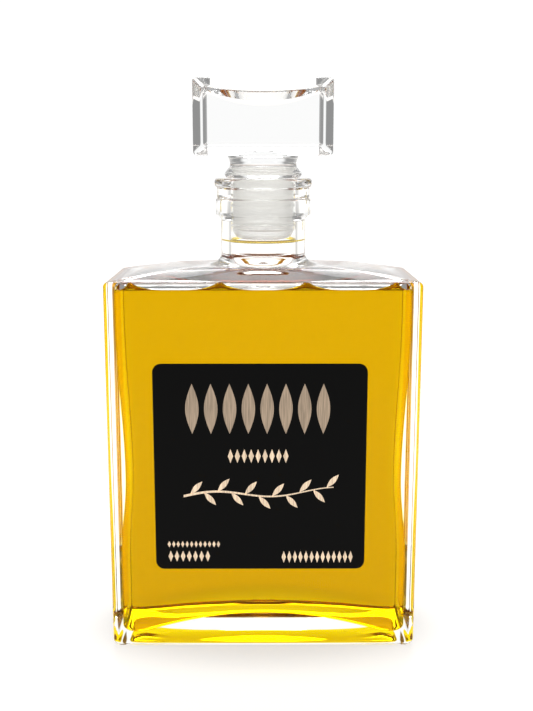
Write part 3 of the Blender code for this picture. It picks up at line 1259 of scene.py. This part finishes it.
@dataclass
class FrontLabel:
    """The black front label with a generic print: leaves, a sprig and rows of lozenges.

    The print's places are distances to the right and down from the label's upper left corner.
    """

    low: Vector
    high: Vector
    glass: float = -0.03001
    corner: float = 0.0038
    edge: float = 0.00006
    support: float = 0.00008
    ink_thickness: float = 0.00004
    frieze_span: Span = (0.0128, 0.0776)
    frieze_heights: Span = (0.0087, 0.0310)
    frieze_leaves: int = 8
    frieze_width: float = 0.72
    sprig_span: Span = (0.0127, 0.0783)
    sprig_down: float = 0.0580
    sprig_leaves: int = 11
    sprig_rise: float = 0.0030
    sprig_lead: float = 0.0020
    sprig_tilt: float = 48.0
    leaf_length: float = 0.0078
    leaf_width: float = 0.0024
    stem_width: float = 0.0011
    wave: float = 0.0016
    lozenge_width: float = 0.38
    lozenge_rows: tuple[tuple[Span, float, float, float], ...] = (
        ((0.0318, 0.0589), 0.0410, 0.0063, 0.0030),
        ((0.0050, 0.0287), 0.0815, 0.0030, 0.0020),
        ((0.0052, 0.0243), 0.0871, 0.0052, 0.0026),
        ((0.0554, 0.0875), 0.0875, 0.0056, 0.0024),
    )
    stock: LabelStock = LabelStock()

    def place(self, right: float, down: float) -> Vector:
        """A point on the label's face, from distances to its upper left corner."""
        return Vector((self.low.x + right, self.low.y, self.high.z - down))

    def sheet(self) -> None:
        """Makes the stock, its front edge a little rounded, and lets it stand for its solid."""
        middle, half = (self.low + self.high) / 2, (self.high - self.low) / 2
        outline = Outline(half.x, half.z, self.corner, self.support)
        rings = []
        for inset, place in ((self.edge, self.low.y), (0.0, self.low.y + self.edge), (0.0, self.glass)):
            points = outline.inset(inset).points()
            rings.append([Vector((middle.x + point.x, place, middle.z + point.y)) for point in points])
        stand_for(loft("label_stock", rings, self.stock.material()), "label")

    def leaf(self, right: float, down: float, length: float, width: float, tilt: float = 0.0) -> Ring:
        """A pointed leaf about its middle.

        Args:
            right: The middle's distance from the label's left edge.
            down: Its distance from the label's top.
            length: The leaf's length.
            width: Its greatest width.
            tilt: How far it leans to the right, in degrees.

        Returns:
            The leaf's edge.
        """
        edge = [(math.sin(math.pi * share) * width / 2, share - 0.5) for share in even(14)[:-1]]
        edge += [(-x, -y) for x, y in edge]
        turn = math.radians(tilt)
        middle = self.place(right, down)
        points = []
        for across, share in edge:
            along = share * length
            x = across * math.cos(turn) + along * math.sin(turn)
            z = along * math.cos(turn) - across * math.sin(turn)
            points.append(middle + Vector((x, 0.0, z)))
        return points

    def lozenges(self, span: Span, down: float, height: float, pitch: float) -> list[Ring]:
        """A row of upright lozenges.

        Args:
            span: Where the row starts and ends.
            down: The row's middle.
            height: How tall a lozenge is.
            pitch: The distance from one to the next.

        Returns:
            One edge for each lozenge.
        """
        width = span[1] - span[0]
        count = round(width / pitch)
        half_x, half_z = width / count * self.lozenge_width, height / 2
        corners = ((half_x, 0.0), (0.0, half_z), (-half_x, 0.0), (0.0, -half_z))
        middles = [self.place(right, down) for right in parts(span, count)]
        return [[middle + Vector((x, 0.0, z)) for x, z in corners] for middle in middles]

    def sway(self, share: float) -> float:
        """How far the sprig's stem lies above its middle line at a share of its length."""
        return self.wave * math.sin(share * 2.5 * math.pi) + self.wave * 1.5 * (share - 0.5)

    def stem(self) -> Ring:
        """The sprig's stem, a wavy line that tapers to its right end.

        Returns:
            The stem's edge.
        """
        first, last = self.sprig_span
        upper, lower = [], []
        for share in even(60):
            middle = self.place(first + (last - first) * share, self.sprig_down - self.sway(share))
            half = Vector((0.0, 0.0, self.stem_width * (1.0 - 0.6 * share) / 2))
            upper.append(middle + half)
            lower.append(middle - half)
        return upper + lower[::-1]

    def sprig(self) -> list[Ring]:
        """A sprig of leaves on both sides of a wavy stem.

        Returns:
            The stem's edge and one for each leaf.
        """
        first, last = self.sprig_span
        shapes = [self.stem()]
        for index in range(self.sprig_leaves):
            share = (index + 0.6) / self.sprig_leaves
            side = 1.0 if index % 2 == 0 else -1.0
            right = first + (last - first) * share + self.sprig_lead
            down = self.sprig_down - self.sway(share) - side * self.sprig_rise
            tilt = 90.0 - side * self.sprig_tilt
            shapes.append(self.leaf(right, down, self.leaf_length, self.leaf_width, tilt))
        return shapes

    def frieze(self) -> list[Ring]:
        """A row of tall upright leaves.

        Returns:
            One edge for each leaf.
        """
        (first, last), (top, bottom) = self.frieze_span, self.frieze_heights
        width = (last - first) / self.frieze_leaves * self.frieze_width
        middles = parts(self.frieze_span, self.frieze_leaves)
        return [self.leaf(right, (top + bottom) / 2, bottom - top, width) for right in middles]

    def build(self) -> None:
        """Makes the stock and prints both inks on it."""
        self.sheet()
        champagne = self.sprig()
        for row in self.lozenge_rows:
            champagne += self.lozenges(*row)
        for ink, shapes in ((Ink.BRONZE, self.frieze()), (Ink.CHAMPAGNE, champagne)):
            name, finish = f"print_{ink.name.lower()}", PrintInk(ink).material()
            ride_along(flat_shapes(name, shapes, self.ink_thickness, finish))


@dataclass
class Studio:
    """The plain pale room: a floor, soft light, and a camera at the photograph's angle.

    The backdrop's greys go by the cosine to a point behind the bottle, lifted above the horizon.
    """

    focal_pixels: float = 1026.0
    image: tuple[int, int] = (533, 711)
    sensor: float = 36.0
    pitch: float = 11.31
    distance: float = 0.4594
    height: float = 0.2206
    sideways_pixels: float = 3.3
    floor_size: float = 14.0
    floor_drop: float = 0.00005
    lift: float = 16.0
    backdrop: Stops = ((-0.80, 0.50), (-0.20, 0.30), (0.84, 0.30), (0.92, 1.03))
    softbox_size: float = 1.0
    softbox_power: float = 16.0
    softbox_place: tuple[float, float, float] = (0.0, 1.1, 1.35)
    softbox_tilt: float = -43.0
    bounces: int = 32
    mirror_bounces: int = 16

    def build(self) -> None:
        """Sets up the floor, the light and the camera."""
        self._floor()
        self._world()
        self._lights()
        self._camera()
        scene = bpy.context.scene
        scene.view_settings.view_transform = "Standard"
        scene.cycles.max_bounces = self.bounces
        scene.cycles.transmission_bounces = self.bounces
        scene.cycles.glossy_bounces = self.mirror_bounces

    def _floor(self) -> None:
        """A wide floor just under the bottle."""
        half = self.floor_size / 2
        mesh = bpy.data.meshes.new("floor")
        corners = [(-half, -half, 0), (half, -half, 0), (half, half, 0), (-half, half, 0)]
        mesh.from_pydata(corners, [], [(0, 1, 2, 3)])
        mesh.materials.append(StudioFloor().material())
        floor = linked("floor", mesh)
        floor.location.z = -self.floor_drop

    def _world(self) -> None:
        """White light from behind and a little above, dimmer from in front and dim at the sides."""
        world = bpy.data.worlds.new("studio")
        bpy.context.scene.world = world
        world.use_nodes = True
        nodes = Nodes(world.node_tree)
        lift = math.radians(self.lift)
        around = nodes.add("TexCoord").outputs["Generated"]
        towards = nodes.add("VectorMath", operation="DOT_PRODUCT", Vector=around)
        towards.inputs[1].default_value = (0.0, math.cos(lift), math.sin(lift))
        spread = nodes.add("MapRange", Value=towards.outputs["Value"], From_Min=-1.0)
        shades = nodes.add("ValToRGB", Fac=spread.outputs["Result"])
        ramp = shades.color_ramp
        ramp.interpolation = "EASE"
        while len(ramp.elements) < len(self.backdrop):
            ramp.elements.new(0.5)
        for element, (cosine, grey) in zip(ramp.elements, self.backdrop):
            element.position = (cosine + 1.0) / 2
            element.color = (grey, grey, grey, 1.0)
        background = nodes.tree.nodes["Background"]
        background.inputs["Color"].default_value = (1.0, 1.0, 1.0, 1.0)
        nodes.link(shades.outputs["Color"], background.inputs["Strength"])

    def _lights(self) -> None:
        """A large softbox above and behind the bottle."""
        lamp = bpy.data.lights.new("softbox", "AREA")
        lamp.size = self.softbox_size
        lamp.energy = self.softbox_power
        made = linked("softbox", lamp)
        made.location = self.softbox_place
        made.rotation_euler = (math.radians(self.softbox_tilt), 0.0, 0.0)

    def _camera(self) -> None:
        """The camera, level from side to side and looking a little down."""
        data = bpy.data.cameras.new("camera")
        data.sensor_width = self.sensor
        data.lens = self.sensor * self.focal_pixels / max(self.image)
        made = linked("camera", data)
        made.location = (0.0, -self.distance, self.height)
        yaw = -math.atan(self.sideways_pixels / self.focal_pixels)
        made.rotation_euler = (math.radians(90.0 - self.pitch), 0.0, yaw)
        bpy.context.scene.camera = made


def main() -> None:
    """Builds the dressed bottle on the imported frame."""
    logging.basicConfig(level=logging.INFO, format="%(message)s")
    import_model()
    low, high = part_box("bottle_glass")
    shell = BottleShell(*(high - low))
    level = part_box("olive_oil")[1].z
    shell.build(level)
    OilFill(shell.cavity(), level).build()
    low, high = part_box("stopper_glass")
    BlockStopper(high.x - low.x, high.z).build()
    low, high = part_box("stopper_seal")
    RibbedSeal(high.z, low.z).build()
    OilTraces(shell.bore).build()
    OilMeniscus(shell.wall - shell.depth / 2, level).build()
    FrontLabel(*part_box("label")).build()
    Studio().build()


if __name__ == "__main__":
    main()
